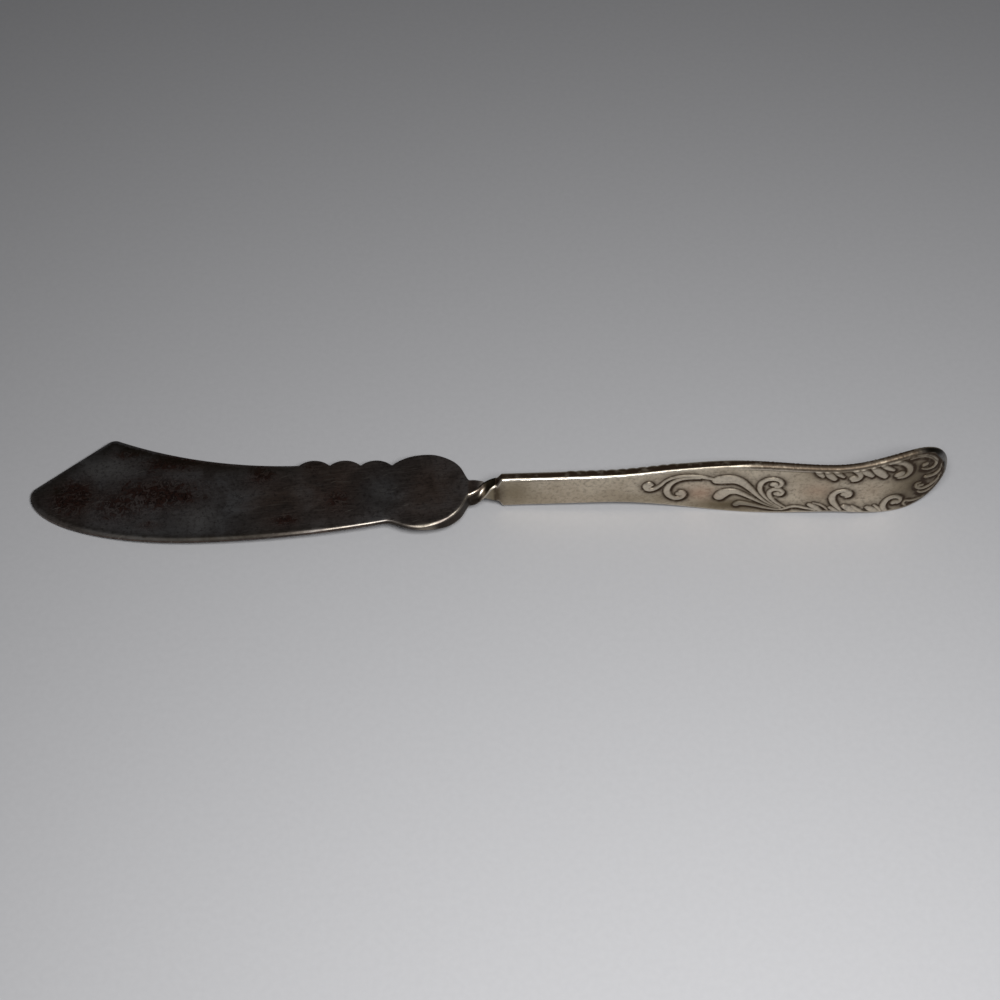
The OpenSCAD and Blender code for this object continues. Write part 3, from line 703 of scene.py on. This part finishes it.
# The points of the near band run upwards
down = BAND_SHARES[::-1]
rubbed = peak(EDGE_STEPS, 0.45, 0.4)
neck_rings = []
for k in np.linspace(0, 1, NECK_RINGS):
    half = eased([(0, 2 * ROOT_HALF), (0.5, NECK_WAIST_W), (1, NECK_HANDLE_W)], k) / 2
    thick = eased([(0, ROOT_T), (0.5, NECK_T), (1, NECK_HANDLE_T)], k)
    edges = [
        [eased([(0, a), (0.55, b), (1, c)], k) for a, b, c in zip(*edge)]
        for edge in zip(ROOT_EDGES, TURN_EDGES, SHOULDER_EDGES)
    ]
    p = ring_section(half, thick, edges)
    # The near edge swells a little where it turns, so that the upper side of the swelling catches the light
    p[near_band, 0] += SWELLING * peak(k, *SWELLING_ALONG) * peak(down, *SWELLING_DOWN)
    roll = -math.pi / 2 * (0.5 * k + 0.5 * ease(k))
    y = -p[:, 0] * math.cos(roll) - p[:, 1] * math.sin(roll)
    z = -p[:, 0] * math.sin(roll) + p[:, 1] * math.cos(roll)
    points = np.stack([np.full(RING, BLADE_ROOT_X + NECK_LEN * k), y, z], -1)
    # That side is rubbed bright, and its pale metal is also a painted highlight; below it lies a painted
    # shade, nearly black, and beyond that a paler patch
    painted_highlight = np.minimum(1.5 * peak(k, 0.44, 0.1) * peak(down, 0.4, 0.1), 1)
    painted_shade_below = peak(k, 0.36, 0.1) * ease((down - 0.6) / 0.15)
    patch = peak(k, 0.58, 0.08) * ease((down - 0.55) / 0.2)
    # The rest of the near edge is as dark as the blade, with both arrises rubbed,
    # and the sheets turn to worn silver
    wear = np.zeros(RING)
    wear[upper_edge] = 0.9 * rubbed * (1 - ease((k - 0.33) / 0.1))
    wear[lower_edge] = rubbed[::-1] * (0.6 * ease((k - 0.15) / 0.1) + 0.3 * ease((k - 0.45) / 0.12))
    wear[near_band] = painted_highlight
    tarnish = np.full(RING, 1 - ease((k - 0.3) / 0.3))
    tarnish[upper_edge] = 1
    tarnish[near_band] = (1 - painted_highlight) * (1 - patch)
    dirt_and_shade = 0.75 + 0.25 * ease((k - 0.5) / 0.08)
    grime = np.full(RING, 0.8 * ease((k - 0.86) / 0.12))
    grime[upper_edge] = dirt_and_shade * ease((k - 0.35) / 0.1)
    grime[lower_edge] = 0.9 * (1 - 0.9 * rubbed[::-1]) * (1 - ease((k - 0.42) / 0.05))
    grime[near_band] = np.maximum(dirt_and_shade, painted_shade_below) * (1 - painted_highlight) * (1 - 0.6 * patch)
    neck_rings.append(put(points, tarnish=tarnish, wear=wear, brown=0.9, grime=grime))
for a, b in zip(neck_rings, neck_rings[1:]):
    bridge("twisted_neck", np.append(a, a[0]), np.append(b, b[0]))
first = neck_rings[0]
blade_skin(
    first[:SHEET],
    first[SHEET + BAND_STEPS:2 * SHEET + BAND_STEPS][::-1],
    first[2 * SHEET + BAND_STEPS:][::-1],
    first[SHEET:SHEET + BAND_STEPS],
)


# Handle: u is along it from the neck, v is up it from its middle and d is the distance from its outline,
# b and h are the width and the fall of an edge and c is how far a face lies from the middle

def handle_points(u, v, through_it):
    """Points of the handle at u along it and v up it; through_it is to the far side of its middle."""
    d = 0.01
    slope = np.arctan((handle_bow(u + d) - handle_bow(u - d)) / (2 * d))
    x = HANDLE_ROOT_X + u - through_it * np.sin(slope)
    return np.stack([x, handle_bow(u) + through_it * np.cos(slope), v], -1)


def edge_distance(u, v):
    """Distance to the outline of the handle."""
    d = 0.01
    before_end = np.minimum(u, END_AT)
    slope = (handle_half_width(before_end + d) - handle_half_width(before_end - d)) / (2 * d)
    side = (handle_half_width(before_end) - np.abs(v)) / np.sqrt(1 + np.where(u < END_AT, slope, 0) ** 2)
    radius = END_W / 2
    cap = radius - np.hypot((u - END_AT) * radius / END_LEN, v)
    return np.maximum(np.where(u > END_AT, cap, side), 0)


FAR_STROKES = [(top, [(u, -v, r) for u, v, r in points]) for top, points in STROKES]
# A row of slanting beads on the stem
FAR_STROKES += [
    (0.3, [(u, 3.9, 0.3), (u + 0.5, 3.3, 0.5), (u + 1.1, 2.8, 0.3)]) for u in np.arange(14, 29, 1.4)
]


def plain_face(u, v, d, on_near):
    """Height of a face without its ornament, the width of its edge, and how far that edge is a bead."""
    upper = v > 0
    # The bevel of the stem becomes a rounded bead along the wide part and round the end
    foot_bead = ease((u - BEAD_FOOT_FROM) / BEAD_RUN)
    bead = np.where(upper, ease((u - BEAD_TOP_FROM) / BEAD_RUN), foot_bead)
    start = SHOULDER_EDGES[2:] if on_near else SHOULDER_EDGES[:2]
    b, h, flat = (np.where(upper, top, bottom) for top, bottom in zip(*start))
    if on_near:
        h = np.where(upper, eased(STEM_FALL, u), eased(STEM_FOOT, u))
        wave = 0.1 * np.sin(1.7 * u) + 0.08 * np.sin(4.3 * u + 1)
        b = np.where(upper, b * (eased(STEM_WIDTH, u) + wave), eased(STEM_FOOT, u))
    rim_width = 0.75 + 0.55 * ease((v + 2) / 4) - 0.8 * ease((v - 4.5) / 3) if on_near else 1.0
    b = b + (0.5 + (rim_width - 0.5) * foot_bead - b) * bead
    h = h + ((0.8 if on_near else 0.35) - h) * bead
    c = handle_thickness(u) / 2 - h * fall(np.minimum(d / b, 1), flat * (1 - bead))
    return c, b, bead


def handle_sheet(u, v, sign):
    """Height of one face of the handle over its middle, and its marks; the sign is -1 on the near face."""
    on_near = sign < 0
    strokes = STROKES if on_near else FAR_STROKES
    d = edge_distance(u, v)
    upper = v > 0
    c, b, bead = plain_face(u, v, d, on_near)
    raised, gap = relief(u, v, strokes)
    field = ease((d - 0.3 - 0.4 * bead) / 0.5)
    # Patina lies in the recess round every stroke; a painted shadow darkens the ground below each stroke, and
    # painted shade the ground all round them
    lee = relief(u - 0.14, v + 0.32, strokes)[1]
    outside = gap > 0
    outline = np.where(outside, peak(gap, 0, 0.3), peak(gap, 0, 0.1))
    painted_shadow_below = outside * peak(np.maximum(lee, 0), 0, 0.5)
    shade = outside * peak(gap, 0, 1.3)
    groove = bead * np.maximum(peak(d - b, 0.12, 0.2), 0.7 * peak(d - b, 0.7, 0.14))
    # The bead is finely reeded
    reeds = np.sin(7.9 * u) + 0.7 * np.sin(5.1 * u + 1) + 0.6 * np.sin(12.7 * u + 2.3)
    reeds = reeds * (0.6 + 0.4 * np.sin(1.3 * u))
    cap = ease((u - RIM_FROM) / RIM_RUN)
    c = c + raised * field - 0.06 * outline * field * outside - 0.12 * groove
    c = c + 0.04 * reeds * bead * (1 - cap) * peak(d, 0, 0.5)
    end = ease((u - 76) / 9)
    line = np.where(upper, 0.6 * ease((u - 3) / 2) * ease((15 - u) / 4), 0) * peak(d, 0.52, 0.13)
    grime = np.max([0.6 * outline * field, 0.85 * painted_shadow_below * field, 0.9 * groove, line], axis=0)
    # The rim round the end is tarnished, and painted black along its top as a dark reflection
    on_rim = cap * ease((b - d) / 0.2 + 0.5)
    on_top = ease((v - 4) / 2.5)
    grime = np.maximum(grime, 0.85 * bead * (1 - ease((d - 0.3) / 0.3)) * (1 - on_rim))
    ground = end * np.where(outside, 0.45, 0.2) * ease((d - 0.5) / 0.3) * (1 - on_rim)
    grime = grime + 0.36 * shade * field + ground
    grime = np.clip(np.max([grime, on_rim * on_top, spots(u, v, HANDLE_DIRT_AND_SHADE)], axis=0), 0, 1)
    # The arrises of the stem, the tops of the strokes, a ridge inside the bead and the rim are rubbed bright
    arris = peak(d, 0.2, 0.2) * (1 - bead) * (1 - 0.7 * ease((u - 36) / 5) * upper)
    tops = 0.35 * ease(-gap / 0.25) * (1 - 0.6 * end)
    ridge = np.maximum(0.7 * bead * upper * (1 - ease((u - 62) / 6)), 0.5 * cap) * peak(d - b, 0.42, 0.15)
    on_edge = 0.5 * on_rim * (1 - ease((v - 1) / 4)) * peak(d, 0.45, 0.25)
    marks = {
        "grime": grime,
        "wear": np.max([arris, tops, ridge, on_edge], axis=0),
        "stain": spots(u, v, HANDLE_STAINS),
        "brown": spots(u, v, HANDLE_DULL) * (1 - on_rim),
    }
    if on_near:
        marks["tarnish"] = on_rim
        # Lower down, the rim is painted paler, as a blue-grey reflection
        marks["brown"] = marks["brown"] - 0.5 * on_rim * (1 - on_top)
    else:
        # Beads along the far edge of the stem, which show as a wavy outline
        row = ease((u - 13) / 2) * ease((38 - u) / 4) * upper
        c = c + 0.22 * row * np.abs(np.sin(math.pi * u / 2)) ** 0.7 * peak(d, 0, 0.6)
    return sign * c, marks


# The rings lie closer together along the shoulders
places = np.concatenate([np.linspace(0, 1.2, 25)[1:], np.arange(1.35, END_AT - 0.05, HANDLE_STEP), [END_AT]])
edge_width = 0.42
lines = np.stack([sheet_lines(float(handle_half_width(u)), edge_width, edge_width) for u in places])
u_grid = np.broadcast_to(places[:, None], lines.shape)
far_c, far_marks = handle_sheet(u_grid, lines, 1)
near_c, near_marks = handle_sheet(u_grid, lines, -1)
far_numbers = put(handle_points(u_grid, lines, far_c), **far_marks)
near_numbers = put(handle_points(u_grid, lines, near_c), **near_marks)
bands = {}
# The edge faces along the top and the bottom are dark: dirt, and also a painted dark reflection
for side, column in (("top", 0), ("bottom", SHEET - 1)):
    c = far_c[:, column, None] * (1 - BAND_SHARES) + near_c[:, column, None] * BAND_SHARES
    u = np.broadcast_to(places[:, None], c.shape)
    v = np.broadcast_to(lines[:, column, None], c.shape)
    bands[side] = put(handle_points(u, v, c), grime=1.0)
handle_rings = [neck_rings[-1]] + [
    np.concatenate([far_numbers[i], bands["bottom"][i], near_numbers[i][::-1], bands["top"][i][::-1]])
    for i in range(len(places))
]
for a, b in zip(handle_rings, handle_rings[1:]):
    bridge("handle", np.append(a, a[0]), np.append(b, b[0]))

# The rounded end: the last section's upper half swings round its middle to the lower half
HALF = SHEET // 2
swing = np.linspace(math.pi / 2, -math.pi / 2, END_RINGS)[1:-1]
radii = lines[-1][:HALF]
u_cap = END_AT + np.cos(swing)[:, None] * radii * END_LEN / (END_W / 2)
v_cap = np.sin(swing)[:, None] * radii
cap_rows = {}
for sign, numbers in ((1, far_numbers), (-1, near_numbers)):
    c, marks = handle_sheet(u_cap, v_cap, sign)
    inner = put(handle_points(u_cap, v_cap, c), **marks)
    rows = [numbers[-1][:HALF]] + list(inner) + [numbers[-1][::-1][:HALF]]
    cap_rows[sign] = (rows, c)
    middle = int(numbers[-1][HALF])
    for a, b in zip(rows, rows[1:]):
        bridge("handle", a, b)
        skin_faces["handle"].append((int(a[-1]), middle, int(b[-1])))
c = cap_rows[1][1][:, :1] * (1 - BAND_SHARES) + cap_rows[-1][1][:, :1] * BAND_SHARES
u = np.broadcast_to(u_cap[:, :1], c.shape)
v = np.broadcast_to(v_cap[:, :1], c.shape)
# The edge face round the end is half as dark: dirt, and also a painted dark reflection
cap_band = put(handle_points(u, v, c), grime=0.5)
band_rows = [bands["top"][-1]] + list(cap_band) + [bands["bottom"][-1]]
for i in range(len(band_rows) - 1):
    a = np.concatenate([[cap_rows[1][0][i][0]], band_rows[i], [cap_rows[-1][0][i][0]]])
    b = np.concatenate([[cap_rows[1][0][i + 1][0]], band_rows[i + 1], [cap_rows[-1][0][i + 1][0]]])
    bridge("handle", a, b)


# Materials

def linear(code):
    """A colour written as sRGB hex, as linear light."""
    channels = [int(code[i:i + 2], 16) / 255 for i in (1, 3, 5)]
    return [c / 12.92 if c <= 0.04045 else ((c + 0.055) / 1.055) ** 2.4 for c in channels] + [1]


def per_metre(mm):
    """Scale of a pattern whose features are about that many mm wide."""
    return 1000 / mm


def add(tree, kind, inputs=None, **settings):
    """Adds a node and returns its first output in use; an input is a value or another node's output."""
    made = tree.nodes.new(kind)
    for name, value in settings.items():
        setattr(made, name, value)
    for name, value in (inputs or {}).items():
        if isinstance(value, bpy.types.NodeSocket):
            tree.links.new(value, made.inputs[name])
        else:
            made.inputs[name].default_value = value
    return next((o for o in made.outputs if o.enabled), None)


def new_material(name):
    made = bpy.data.materials.new(name)
    made.use_nodes = True
    made.node_tree.nodes.clear()
    return made, made.node_tree


# Kinds of nodes that are used often, and their settings
NOISE = "ShaderNodeTexNoise"
CURVE = "ShaderNodeMapRange"
BLEND = "ShaderNodeMix"
MATHS = "ShaderNodeMath"
SMOOTH = {"interpolation_type": "SMOOTHSTEP"}
COLOURS = {"data_type": "RGBA"}
TIMES = {"operation": "MULTIPLY"}
# Inputs of a colour mix and of a map range, by number
SHARE, FIRST, SECOND = 0, 6, 7
VALUE, FROM_LOW, FROM_HIGH, TO_LOW, TO_HIGH = range(5)


def tarnished(tree, place, stain, brown, grime):
    """Colour of plate gone almost black: blue-grey and brown clouds, stains, brushing; and its fine grain."""
    # Blue-grey to brown with darker clouds about 9 mm wide, and paler where the brown is below 0
    clouds = add(tree, NOISE, {
        "Vector": place, "Scale": per_metre(9), "Detail": 6.0, "Roughness": 0.6, "Distortion": 0.8})
    shift = add(tree, CURVE, {VALUE: clouds, FROM_LOW: 0.3, FROM_HIGH: 0.7, TO_LOW: -0.35, TO_HIGH: 0.35})
    clouds = add(tree, CURVE, {VALUE: clouds, FROM_LOW: 0.4, FROM_HIGH: 0.62, TO_HIGH: 0.7}, **SMOOTH)
    browner = add(tree, MATHS, {0: brown, 1: shift}, operation="ADD", use_clamp=True)
    dark = add(tree, BLEND, {SHARE: browner, FIRST: linear("#777676"), SECOND: linear("#69574c")}, **COLOURS)
    pale = add(tree, CURVE, {VALUE: brown, FROM_LOW: 0.0, FROM_HIGH: -0.6, TO_HIGH: 0.75}, **SMOOTH)
    dark = add(tree, BLEND, {SHARE: clouds, FIRST: dark, SECOND: linear("#4a4644")}, **COLOURS)
    dark = add(tree, BLEND, {SHARE: pale, FIRST: dark, SECOND: linear("#8e8c89")}, **COLOURS)
    # Stains: a soft brown cast, dark red curds about 1.6 mm wide in it and black lines round them
    cast = add(tree, MATHS, {0: stain, 1: 0.7}, **TIMES)
    dark = add(tree, BLEND, {SHARE: cast, FIRST: dark, SECOND: linear("#75625b")}, **COLOURS)
    curdle = add(tree, NOISE, {
        "Vector": place, "Scale": per_metre(1.6), "Detail": 5.0, "Roughness": 0.62, "Distortion": 1.6})
    reach = add(tree, CURVE, {VALUE: stain, TO_LOW: 0.72, TO_HIGH: 0.38})
    inside = add(tree, MATHS, {0: curdle, 1: reach}, operation="SUBTRACT")
    red = add(tree, CURVE, {VALUE: inside, FROM_LOW: -0.03, FROM_HIGH: 0.14, TO_HIGH: 0.85}, **SMOOTH)
    dark = add(tree, BLEND, {SHARE: red, FIRST: dark, SECOND: linear("#4f3128")}, **COLOURS)
    line = add(tree, MATHS, {0: add(tree, MATHS, {0: curdle, 1: 6.0}, **TIMES), 1: 0.5}, operation="PINGPONG")
    line = add(tree, CURVE, {VALUE: line, FROM_LOW: 0.0, FROM_HIGH: 0.3, TO_LOW: 1.0, TO_HIGH: 0.0}, **SMOOTH)
    line = add(tree, MATHS, {0: line, 1: stain}, **TIMES)
    dark = add(tree, BLEND, {SHARE: line, FIRST: dark, SECOND: linear("#1a1210")}, **COLOURS)
    grain = add(tree, NOISE, {"Vector": place, "Scale": per_metre(0.7), "Detail": 5.0, "Roughness": 0.7})
    specks = add(tree, CURVE, {VALUE: grain, FROM_LOW: 0.45, FROM_HIGH: 0.75, TO_HIGH: 0.8}, **SMOOTH)
    dark = add(tree, BLEND, {SHARE: specks, FIRST: dark, SECOND: linear("#332d2b")}, **COLOURS)
    # Brushing along the blade and a few slanting scratches, both drawn 0.25 mm wide so that they show
    fine = (0.003, 0.00025, 0.003)
    turned = {"vector_type": "TEXTURE"}
    along = add(tree, "ShaderNodeMapping", {
        "Vector": place, "Rotation": (0, 0, math.radians(5)), "Scale": fine}, **turned)
    brushing = add(tree, NOISE, {
        "Vector": along, "Scale": 1.0, "Detail": 4.0, "Roughness": 0.6, "Distortion": 0.5})
    strength = add(tree, CURVE, {VALUE: brown, TO_LOW: 0.3, TO_HIGH: 0.8})
    bright = add(tree, CURVE, {VALUE: brushing, FROM_LOW: 0.52, FROM_HIGH: 0.75, TO_HIGH: 0.5}, **SMOOTH)
    bright = add(tree, MATHS, {0: bright, 1: strength}, **TIMES)
    dark = add(tree, BLEND, {SHARE: bright, FIRST: dark, SECOND: linear("#8f8982")}, **COLOURS)
    dim = add(tree, CURVE, {VALUE: brushing, FROM_LOW: 0.5, FROM_HIGH: 0.3, TO_HIGH: 0.7}, **SMOOTH)
    dim = add(tree, MATHS, {0: dim, 1: strength}, **TIMES)
    dark = add(tree, BLEND, {SHARE: dim, FIRST: dark, SECOND: linear("#3a3330")}, **COLOURS)
    across = add(tree, "ShaderNodeMapping", {
        "Vector": place, "Rotation": (0, 0, math.radians(20)), "Scale": fine}, **turned)
    scratches = add(tree, NOISE, {"Vector": across, "Scale": 1.0, "Detail": 1.0})
    scratches = add(tree, CURVE, {VALUE: scratches, FROM_LOW: 0.72, FROM_HIGH: 0.8, TO_HIGH: 0.5}, **SMOOTH)
    dark = add(tree, BLEND, {SHARE: scratches, FIRST: dark, SECOND: linear("#aaa399")}, **COLOURS)
    # Dark dirt, and below the neck's swelling a painted shade
    dark = add(tree, BLEND, {SHARE: grime, FIRST: dark, SECOND: linear("#241f17")}, **COLOURS)
    return dark, grain


def worn_plate(tree, place, stain, brown, grime, wear):
    """Colour of worn plate: warm grey, faintly blotched, pink where the copper shows; and its brown dirt,
    which also carries painted shade, shadow and dark reflection.
    """
    blotches = add(tree, NOISE, {"Vector": place, "Scale": per_metre(8), "Detail": 4.0, "Distortion": 0.4})
    blotches = add(tree, CURVE, {VALUE: blotches, FROM_LOW: 0.35, FROM_HIGH: 0.7}, **SMOOTH)
    light = add(tree, BLEND, {
        SHARE: blotches, FIRST: linear("#d6cab6"), SECOND: linear("#bfb19c")}, **COLOURS)
    mottle = add(tree, NOISE, {"Vector": place, "Scale": per_metre(0.8), "Detail": 5.0, "Roughness": 0.65})
    mottle = add(tree, CURVE, {VALUE: mottle, FROM_LOW: 0.42, FROM_HIGH: 0.78}, **SMOOTH)
    light = add(tree, BLEND, {SHARE: mottle, FIRST: light, SECOND: linear("#958a7b")}, **COLOURS)
    light = add(tree, BLEND, {SHARE: brown, FIRST: light, SECOND: linear("#85785f")}, **COLOURS)
    copper = add(tree, MATHS, {0: stain, 1: 0.55}, **TIMES)
    light = add(tree, BLEND, {SHARE: copper, FIRST: light, SECOND: linear("#b98f76")}, **COLOURS)
    # Pale rubbed metal; on the neck's swelling it is also a painted highlight
    light = add(tree, BLEND, {SHARE: wear, FIRST: light, SECOND: linear("#d9d1c4")}, **COLOURS)
    # The brown dark colour is dirt, and also painted shade round the handle's strokes and a painted dark
    # reflection on its edges
    patchy = add(tree, NOISE, {"Vector": place, "Scale": per_metre(1.6), "Detail": 3.0})
    patchy = add(tree, CURVE, {
        VALUE: patchy, FROM_LOW: 0.2, FROM_HIGH: 0.5, TO_LOW: 0.6, TO_HIGH: 1.0}, **SMOOTH)
    dirt_and_shade = add(tree, MATHS, {0: grime, 1: patchy}, **TIMES)
    light = add(tree, BLEND, {SHARE: dirt_and_shade, FIRST: light, SECOND: linear("#45372b")}, **COLOURS)
    return light, dirt_and_shade


def silver_plate():
    """Old silver plate: blotched black tarnish on the blade, worn warm grey elsewhere, dirt in recesses, with
    some painted shade, shadow, dark reflection and highlight.
    """
    made, tree = new_material("old silver plate")
    place = add(tree, "ShaderNodeTexCoord").node.outputs["Object"]
    tarnish, grime, wear, stain, brown = (
        add(tree, "ShaderNodeAttribute", attribute_name=mark).node.outputs["Fac"] for mark in MARKS
    )
    dark, grain = tarnished(tree, place, stain, brown, grime)
    light, dirt_and_shade = worn_plate(tree, place, stain, brown, grime, wear)
    # The rubbed bevel of the blade, broken up as rubbing leaves it
    rubbed = add(tree, NOISE, {"Vector": place, "Scale": per_metre(2.2), "Detail": 4.0})
    rubbed = add(tree, CURVE, {VALUE: rubbed, FROM_LOW: 0.3, FROM_HIGH: 0.6, TO_LOW: 0.35}, **SMOOTH)
    rubbed = add(tree, MATHS, {0: rubbed, 1: wear}, **TIMES)
    dark = add(tree, BLEND, {SHARE: rubbed, FIRST: dark, SECOND: linear("#b3aa9b")}, **COLOURS)
    colour = add(tree, BLEND, {SHARE: tarnish, FIRST: light, SECOND: dark}, **COLOURS)

    dull = add(tree, CURVE, {VALUE: rubbed, TO_LOW: 0.46, TO_HIGH: 0.32})
    worn = add(tree, CURVE, {VALUE: wear, FROM_LOW: 0.6, TO_LOW: 0.48, TO_HIGH: 0.28})
    rough = add(tree, CURVE, {VALUE: tarnish, TO_LOW: worn, TO_HIGH: dull})
    rough = add(tree, CURVE, {VALUE: dirt_and_shade, TO_LOW: rough, TO_HIGH: 0.6})
    dents = add(tree, "ShaderNodeBump", {"Height": grain, "Strength": 0.08, "Distance": 0.0002})
    shader = add(tree, "ShaderNodeBsdfPrincipled", {
        "Base Color": colour, "Metallic": 1.0, "Roughness": rough, "Normal": dents})
    add(tree, "ShaderNodeOutputMaterial", {"Surface": shader})
    return made


def matt_board():
    """The table: pale grey card with a fine, barely visible grain."""
    made, tree = new_material("matt grey board")
    place = add(tree, "ShaderNodeTexCoord").node.outputs["Object"]
    grain = add(tree, NOISE, {"Vector": place, "Scale": per_metre(1.2), "Detail": 3.0})
    colour = add(tree, BLEND, {SHARE: grain, FIRST: linear("#a7a7a9"), SECOND: linear("#adadaf")}, **COLOURS)
    shader = add(tree, "ShaderNodeBsdfPrincipled", {"Base Color": colour, "Roughness": 0.8})
    add(tree, "ShaderNodeOutputMaterial", {"Surface": shader})
    return made


# The skin becomes three pieces that share their normals along the seams
in_knife = np.vstack(skin_points)
in_knife[:, 1] += eased(SWAY, in_knife[:, 0])
in_knife[:, 2] += eased(SAG, in_knife[:, 0])
all_points = on_table(in_knife)
all_marks = np.vstack(skin_marks)
whole = bpy.data.meshes.new("whole")
whole.from_pydata(all_points.tolist(), [], [f for name in PIECES for f in skin_faces[name]])
work = bmesh.new()
work.from_mesh(whole)
bmesh.ops.recalc_face_normals(work, faces=work.faces)
work.to_mesh(whole)
work.free()
normals = np.zeros(len(all_points) * 3)
whole.vertex_normals.foreach_get("vector", normals)
normals = normals.reshape(-1, 3)
faces = [tuple(p.vertices) for p in whole.polygons]
bpy.data.meshes.remove(whole)

silver = silver_plate()
done = 0
for name, slot in zip(PIECES, ("blade_silver", "neck_silver", "handle_silver")):
    mine = faces[done:done + len(skin_faces[name])]
    done += len(mine)
    used = np.unique(np.concatenate([np.array(f) for f in mine]))
    renumber = np.zeros(len(all_points), int)
    renumber[used] = np.arange(len(used))
    mesh = bpy.data.meshes.new(f"{name}_metal")
    mesh.from_pydata(all_points[used].tolist(), [], [tuple(renumber[list(f)].tolist()) for f in mine])
    mesh.polygons.foreach_set("use_smooth", np.ones(len(mine), bool))
    mesh.normals_split_custom_set_from_vertices(normals[used].tolist())
    for i, mark in enumerate(MARKS):
        mesh.attributes.new(mark, "FLOAT", "POINT").data.foreach_set("value", all_marks[used, i])
    mesh.materials.append(silver)
    piece = bpy.data.objects.new(f"{name}_metal", mesh)
    bpy.context.collection.objects.link(piece)
    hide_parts(name)
    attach(piece, "root")

# Table, light and camera, in metres
TABLE_SIZE = 3
ROOM_LIGHT = (0.055, 0.055, 0.058, 1)
WINDOW_SIZE = (0.15, 0.1)
WINDOW_POWER = 1.34
WINDOW_AT = (0.05, -0.175, 0.28)
WINDOW_FACES = (0.05, -0.15, 0)
EYE_HEIGHT = math.radians(52.6)
EYE_DISTANCE = 0.3732
EYE_TARGET = (0, 0, 0.005)
EYE_SHIFT = (0.014, -0.0188)
HALF_VIEW = math.radians(15)

bpy.ops.mesh.primitive_plane_add(size=TABLE_SIZE)
table = bpy.context.object
table.name = "table"
table.data.materials.append(matt_board())

world = bpy.data.worlds.new("room")
world.use_nodes = True
world.node_tree.nodes["Background"].inputs["Color"].default_value = ROOM_LIGHT
bpy.context.scene.world = world

lamp = bpy.data.lights.new("window", "AREA")
lamp.shape = "RECTANGLE"
lamp.size, lamp.size_y = WINDOW_SIZE
lamp.energy = WINDOW_POWER
window = bpy.data.objects.new("window", lamp)
window.location = WINDOW_AT
window.rotation_euler = (Vector(WINDOW_FACES) - window.location).to_track_quat("-Z", "Y").to_euler()
window.visible_camera = False
bpy.context.collection.objects.link(window)

camera = bpy.data.cameras.new("camera")
camera.sensor_width = 36
camera.lens = camera.sensor_width / 2 / math.tan(HALF_VIEW)
eye = bpy.data.objects.new("camera", camera)
back = Vector((0, -math.cos(EYE_HEIGHT), math.sin(EYE_HEIGHT)))
eye.location = Vector(EYE_TARGET) + back * EYE_DISTANCE
eye.rotation_euler = (-back).to_track_quat("-Z", "Y").to_euler()
camera.shift_x, camera.shift_y = EYE_SHIFT
camera.clip_start = 0.01
bpy.context.collection.objects.link(eye)
bpy.context.scene.camera = eye
bpy.context.scene.view_settings.view_transform = "Standard"
